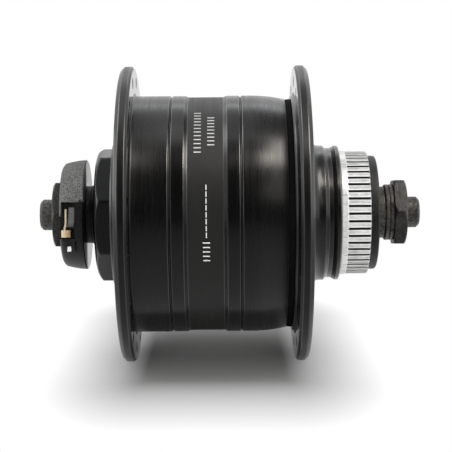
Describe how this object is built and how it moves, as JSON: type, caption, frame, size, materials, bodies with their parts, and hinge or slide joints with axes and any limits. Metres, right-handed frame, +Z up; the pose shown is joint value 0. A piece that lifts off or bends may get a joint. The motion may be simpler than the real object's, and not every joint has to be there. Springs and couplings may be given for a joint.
{
  "type": "hub dynamo",
  "caption": "Bicycle front hub dynamo: a black flanged shell with a splined disc mount turns on ball bearings around a fixed axle with a claw-pole stator and a lamp connector.",
  "frame": {"origin": "on the axle, half way between the two outer locknut faces that the fork clamps", "axes": "+Y along the axle towards the disc side, +X forward (the way the connector faces), +Z up"},
  "size_m": [0.084, 0.108, 0.084],
  "materials": {
    "anodised_black": "black anodised, fine turned marks",
    "bright_aluminium": "bare, machined bright",
    "black_steel": "black oxide, slightly grainy",
    "cap_black": "black, slightly grainy",
    "bearing_steel": "ground and polished",
    "soft_iron": "stamped, dull",
    "magnet": "dark grey, coated",
    "copper_wire": "enamelled copper",
    "bobbin_plastic": "moulded, pale",
    "cage_brass": "stamped",
    "lead_red": "smooth insulation",
    "lead_black": "smooth insulation",
    "connector_plastic": "moulded, satin black",
    "cover_plastic": "moulded, spark-textured black",
    "tinned": "tin plated",
    "brass": "bare brass",
    "seal_rubber": "smooth rubber"
  },
  "bodies": {
    "axle_assembly": {"axle": "black_steel", "connector_side_locknut": "black_steel", "disc_side_locknut": "black_steel", "outer_washer": "black_steel", "inner_washer": "black_steel", "disc_side_sleeve": "black_steel", "connector_side_sleeve": "black_steel", "stator_core": "soft_iron", "connector_side_claws": "soft_iron", "disc_side_claws": "soft_iron", "coil_bobbin": "bobbin_plastic", "coil_winding": "copper_wire", "connector_side_spacer": "soft_iron", "disc_side_spacer": "soft_iron", "live_lead": "lead_red", "ground_lead": "lead_black", "terminal_block": "connector_plastic", "terminal_cover": "cover_plastic", "tin_terminal": "tinned", "brass_terminal": "brass", "terminal_tab": "tinned", "connector_side_inner_race": "bearing_steel", "disc_side_inner_race": "bearing_steel"},
    "hub": {"hub_shell": "anodised_black", "disc_side_cover": "anodised_black", "shell_seal": "seal_rubber", "flux_ring": "soft_iron", "rotor_magnets": "magnet", "end_nut": "anodised_black", "spline_ring": "bright_aluminium", "dust_cap": "cap_black", "connector_side_outer_race": "bearing_steel", "connector_side_shields": "bearing_steel", "connector_side_circlip": "bearing_steel", "disc_side_outer_race": "bearing_steel", "disc_side_shields": "bearing_steel", "disc_side_circlip": "bearing_steel"},
    "connector_side_ball_set": {"connector_side_balls": "bearing_steel", "connector_side_cage": "cage_brass"},
    "disc_side_ball_set": {"disc_side_balls": "bearing_steel", "disc_side_cage": "cage_brass"}
  },
  "joints": [
    {"name": "hub_spin", "type": "hinge", "parent": "axle_assembly", "child": "hub", "pos_m": [0, 0, 0], "axis": [0, 1, 0], "continuous": true},
    {"name": "connector_side_ball_orbit", "type": "hinge", "parent": "axle_assembly", "child": "connector_side_ball_set", "pos_m": [0, -0.033, 0], "axis": [0, 1, 0], "continuous": true},
    {"name": "disc_side_ball_orbit", "type": "hinge", "parent": "axle_assembly", "child": "disc_side_ball_set", "pos_m": [0, 0.034, 0], "axis": [0, 1, 0], "continuous": true}
  ],
  "couplings": [
    {"joint": "connector_side_ball_orbit", "follows": "hub_spin", "ratio": 0.59722},
    {"joint": "disc_side_ball_orbit", "follows": "hub_spin", "ratio": 0.59722}
  ]
}
